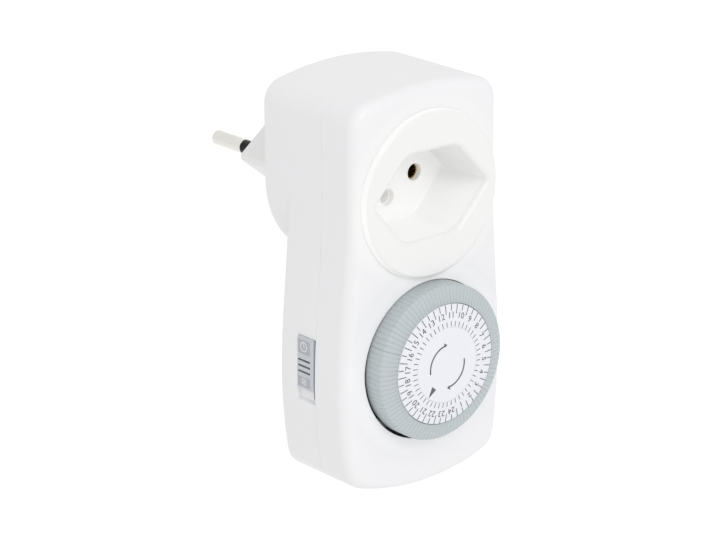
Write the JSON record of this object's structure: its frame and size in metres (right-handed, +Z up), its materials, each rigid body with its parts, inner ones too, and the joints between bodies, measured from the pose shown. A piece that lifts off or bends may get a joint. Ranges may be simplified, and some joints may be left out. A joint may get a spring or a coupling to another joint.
{
  "type": "plug-in timer switch",
  "caption": "Plug-in mechanical day timer with a deep hexagonal socket recess, a dial of push-in tappets, a side slide switch and a three-pin plug.",
  "frame": {"origin": "on the axis of the plug and socket, in the plane of the rear boss that meets the wall", "axes": "+Z up, the front faces -Y, the plug pins point along +Y, +X to the right seen from the front"},
  "size_m": [0.0554, 0.0841, 0.1097],
  "materials": {
    "housing": "satin, very slightly grained",
    "socket": "satin",
    "tappet": "satin grey green",
    "label": "satin with grey printed numbers and ticks",
    "switch_grey": "satin",
    "inner_plastic": "matt",
    "carrier": "matt",
    "black_plastic": "matt",
    "pin_metal": "nickel plated",
    "brass": "plain",
    "steel": "plain",
    "plate_steel": "rolled sheet",
    "copper": "enamelled copper winding",
    "magnet": "plain"
  },
  "bodies": {
    "housing": {"front_shell": "housing", "rear_shell": "housing", "socket_insert": "socket", "plug_body": "socket", "line_pin": "pin_metal", "neutral_pin": "pin_metal", "earth_pin": "pin_metal", "pin_sleeves": "black_plastic", "housing_screws": "steel", "socket_contacts": "brass", "contact_carrier": "carrier", "line_in_strap": "brass", "line_out_strap": "brass", "centre_disc": "label", "spindle": "steel", "front_plate": "plate_steel", "rear_plate": "plate_steel", "movement_screws": "steel", "motor_can": "steel", "motor_plate": "steel", "motor_coil": "copper", "switch_case": "black_plastic", "moving_blade": "brass"},
    "dial": {"dial_drum": "inner_plastic", "guide_ring": "inner_plastic", "number_ring": "label"},
    "drive_arbor": {"drive_pinion": "steel", "clutch_spring": "steel"},
    "sensing_lever": {"sensing_lever": "steel"},
    "override_slider": {"override_slider": "switch_grey"},
    "rotor": {"rotor": "magnet"},
    "wheel_1": {"wheel_1": "brass"},
    "wheel_2": {"wheel_2": "brass"},
    "wheel_3": {"wheel_3": "brass"},
    "wheel_4": {"wheel_4": "brass"},
    "wheel_5": {"wheel_5": "brass"},
    "tappets_h00": {"tappets_h00": "tappet"},
    "tappets_h01": {"tappets_h01": "tappet"},
    "tappets_h02": {"tappets_h02": "tappet"},
    "tappets_h03": {"tappets_h03": "tappet"},
    "tappets_h04": {"tappets_h04": "tappet"},
    "tappets_h05": {"tappets_h05": "tappet"},
    "tappets_h06": {"tappets_h06": "tappet"},
    "tappets_h07": {"tappets_h07": "tappet"},
    "tappets_h08": {"tappets_h08": "tappet"},
    "tappets_h09": {"tappets_h09": "tappet"},
    "tappets_h10": {"tappets_h10": "tappet"},
    "tappets_h11": {"tappets_h11": "tappet"},
    "tappets_h12": {"tappets_h12": "tappet"},
    "tappets_h13": {"tappets_h13": "tappet"},
    "tappets_h14": {"tappets_h14": "tappet"},
    "tappets_h15": {"tappets_h15": "tappet"},
    "tappets_h16": {"tappets_h16": "tappet"},
    "tappets_h17": {"tappets_h17": "tappet"},
    "tappets_h18": {"tappets_h18": "tappet"},
    "tappets_h19": {"tappets_h19": "tappet"},
    "tappets_h20": {"tappets_h20": "tappet"},
    "tappets_h21": {"tappets_h21": "tappet"},
    "tappets_h22": {"tappets_h22": "tappet"},
    "tappets_h23": {"tappets_h23": "tappet"}
  },
  "joints": [
    {"name": "dial_turn", "type": "hinge", "parent": "housing", "child": "dial", "pos_m": [0, 0, -0.045], "axis": [0, 1, 0], "continuous": true},
    {"name": "tappets_h00_push", "type": "slide", "parent": "dial", "child": "tappets_h00", "axis": [0, 1, 0], "range_m": [0, 0.002]},
    {"name": "tappets_h01_push", "type": "slide", "parent": "dial", "child": "tappets_h01", "axis": [0, 1, 0], "range_m": [0, 0.002]},
    {"name": "tappets_h02_push", "type": "slide", "parent": "dial", "child": "tappets_h02", "axis": [0, 1, 0], "range_m": [0, 0.002]},
    {"name": "tappets_h03_push", "type": "slide", "parent": "dial", "child": "tappets_h03", "axis": [0, 1, 0], "range_m": [0, 0.002]},
    {"name": "tappets_h04_push", "type": "slide", "parent": "dial", "child": "tappets_h04", "axis": [0, 1, 0], "range_m": [0, 0.002]},
    {"name": "tappets_h05_push", "type": "slide", "parent": "dial", "child": "tappets_h05", "axis": [0, 1, 0], "range_m": [0, 0.002]},
    {"name": "tappets_h06_push", "type": "slide", "parent": "dial", "child": "tappets_h06", "axis": [0, 1, 0], "range_m": [0, 0.002]},
    {"name": "tappets_h07_push", "type": "slide", "parent": "dial", "child": "tappets_h07", "axis": [0, 1, 0], "range_m": [0, 0.002]},
    {"name": "tappets_h08_push", "type": "slide", "parent": "dial", "child": "tappets_h08", "axis": [0, 1, 0], "range_m": [0, 0.002]},
    {"name": "tappets_h09_push", "type": "slide", "parent": "dial", "child": "tappets_h09", "axis": [0, 1, 0], "range_m": [0, 0.002]},
    {"name": "tappets_h10_push", "type": "slide", "parent": "dial", "child": "tappets_h10", "axis": [0, 1, 0], "range_m": [0, 0.002]},
    {"name": "tappets_h11_push", "type": "slide", "parent": "dial", "child": "tappets_h11", "axis": [0, 1, 0], "range_m": [0, 0.002]},
    {"name": "tappets_h12_push", "type": "slide", "parent": "dial", "child": "tappets_h12", "axis": [0, 1, 0], "range_m": [0, 0.002]},
    {"name": "tappets_h13_push", "type": "slide", "parent": "dial", "child": "tappets_h13", "axis": [0, 1, 0], "range_m": [0, 0.002]},
    {"name": "tappets_h14_push", "type": "slide", "parent": "dial", "child": "tappets_h14", "axis": [0, 1, 0], "range_m": [0, 0.002]},
    {"name": "tappets_h15_push", "type": "slide", "parent": "dial", "child": "tappets_h15", "axis": [0, 1, 0], "range_m": [0, 0.002]},
    {"name": "tappets_h16_push", "type": "slide", "parent": "dial", "child": "tappets_h16", "axis": [0, 1, 0], "range_m": [0, 0.002]},
    {"name": "tappets_h17_push", "type": "slide", "parent": "dial", "child": "tappets_h17", "axis": [0, 1, 0], "range_m": [0, 0.002]},
    {"name": "tappets_h18_push", "type": "slide", "parent": "dial", "child": "tappets_h18", "axis": [0, 1, 0], "range_m": [0, 0.002]},
    {"name": "tappets_h19_push", "type": "slide", "parent": "dial", "child": "tappets_h19", "axis": [0, 1, 0], "range_m": [0, 0.002]},
    {"name": "tappets_h20_push", "type": "slide", "parent": "dial", "child": "tappets_h20", "axis": [0, 1, 0], "range_m": [0, 0.002]},
    {"name": "tappets_h21_push", "type": "slide", "parent": "dial", "child": "tappets_h21", "axis": [0, 1, 0], "range_m": [0, 0.002]},
    {"name": "tappets_h22_push", "type": "slide", "parent": "dial", "child": "tappets_h22", "axis": [0, 1, 0], "range_m": [0, 0.002]},
    {"name": "tappets_h23_push", "type": "slide", "parent": "dial", "child": "tappets_h23", "axis": [0, 1, 0], "range_m": [0, 0.002]},
    {"name": "override_slide", "type": "slide", "parent": "housing", "child": "override_slider", "axis": [0, 0, -1], "range_m": [0, 0.003]},
    {"name": "sensing_lever_tilt", "type": "hinge", "parent": "housing", "child": "sensing_lever", "pos_m": [0.007, 0, -0.021], "axis": [0, 1, 0], "range_deg": [0, 3]},
    {"name": "drive_spin", "type": "hinge", "parent": "housing", "child": "drive_arbor", "pos_m": [-0.0047, 0, -0.05792], "axis": [0, 1, 0], "continuous": true},
    {"name": "wheel_1_spin", "type": "hinge", "parent": "housing", "child": "wheel_1", "pos_m": [-0.00263, 0, -0.03581], "axis": [0, 1, 0], "continuous": true},
    {"name": "wheel_2_spin", "type": "hinge", "parent": "housing", "child": "wheel_2", "pos_m": [0.00473, 0, -0.04006], "axis": [0, 1, 0], "continuous": true},
    {"name": "wheel_3_spin", "type": "hinge", "parent": "housing", "child": "wheel_3", "pos_m": [0.0063, 0, -0.04892], "axis": [0, 1, 0], "continuous": true},
    {"name": "wheel_4_spin", "type": "hinge", "parent": "housing", "child": "wheel_4", "pos_m": [0.0063, 0, -0.05792], "axis": [0, 1, 0], "continuous": true},
    {"name": "wheel_5_spin", "type": "hinge", "parent": "housing", "child": "wheel_5", "pos_m": [-0.0047, 0, -0.05792], "axis": [0, 1, 0], "continuous": true},
    {"name": "rotor_spin", "type": "hinge", "parent": "housing", "child": "rotor", "pos_m": [-0.00015, 0, -0.04262], "axis": [0, 1, 0], "continuous": true}
  ],
  "couplings": [
    {"joint": "drive_spin", "follows": "dial_turn", "ratio": 12},
    {"joint": "wheel_1_spin", "follows": "rotor_spin", "ratio": -0.16},
    {"joint": "wheel_2_spin", "follows": "rotor_spin", "ratio": 0.021333},
    {"joint": "wheel_3_spin", "follows": "rotor_spin", "ratio": -0.0026667},
    {"joint": "wheel_4_spin", "follows": "rotor_spin", "ratio": 0.00033333},
    {"joint": "wheel_5_spin", "follows": "rotor_spin", "ratio": -0.000033333}
  ]
}
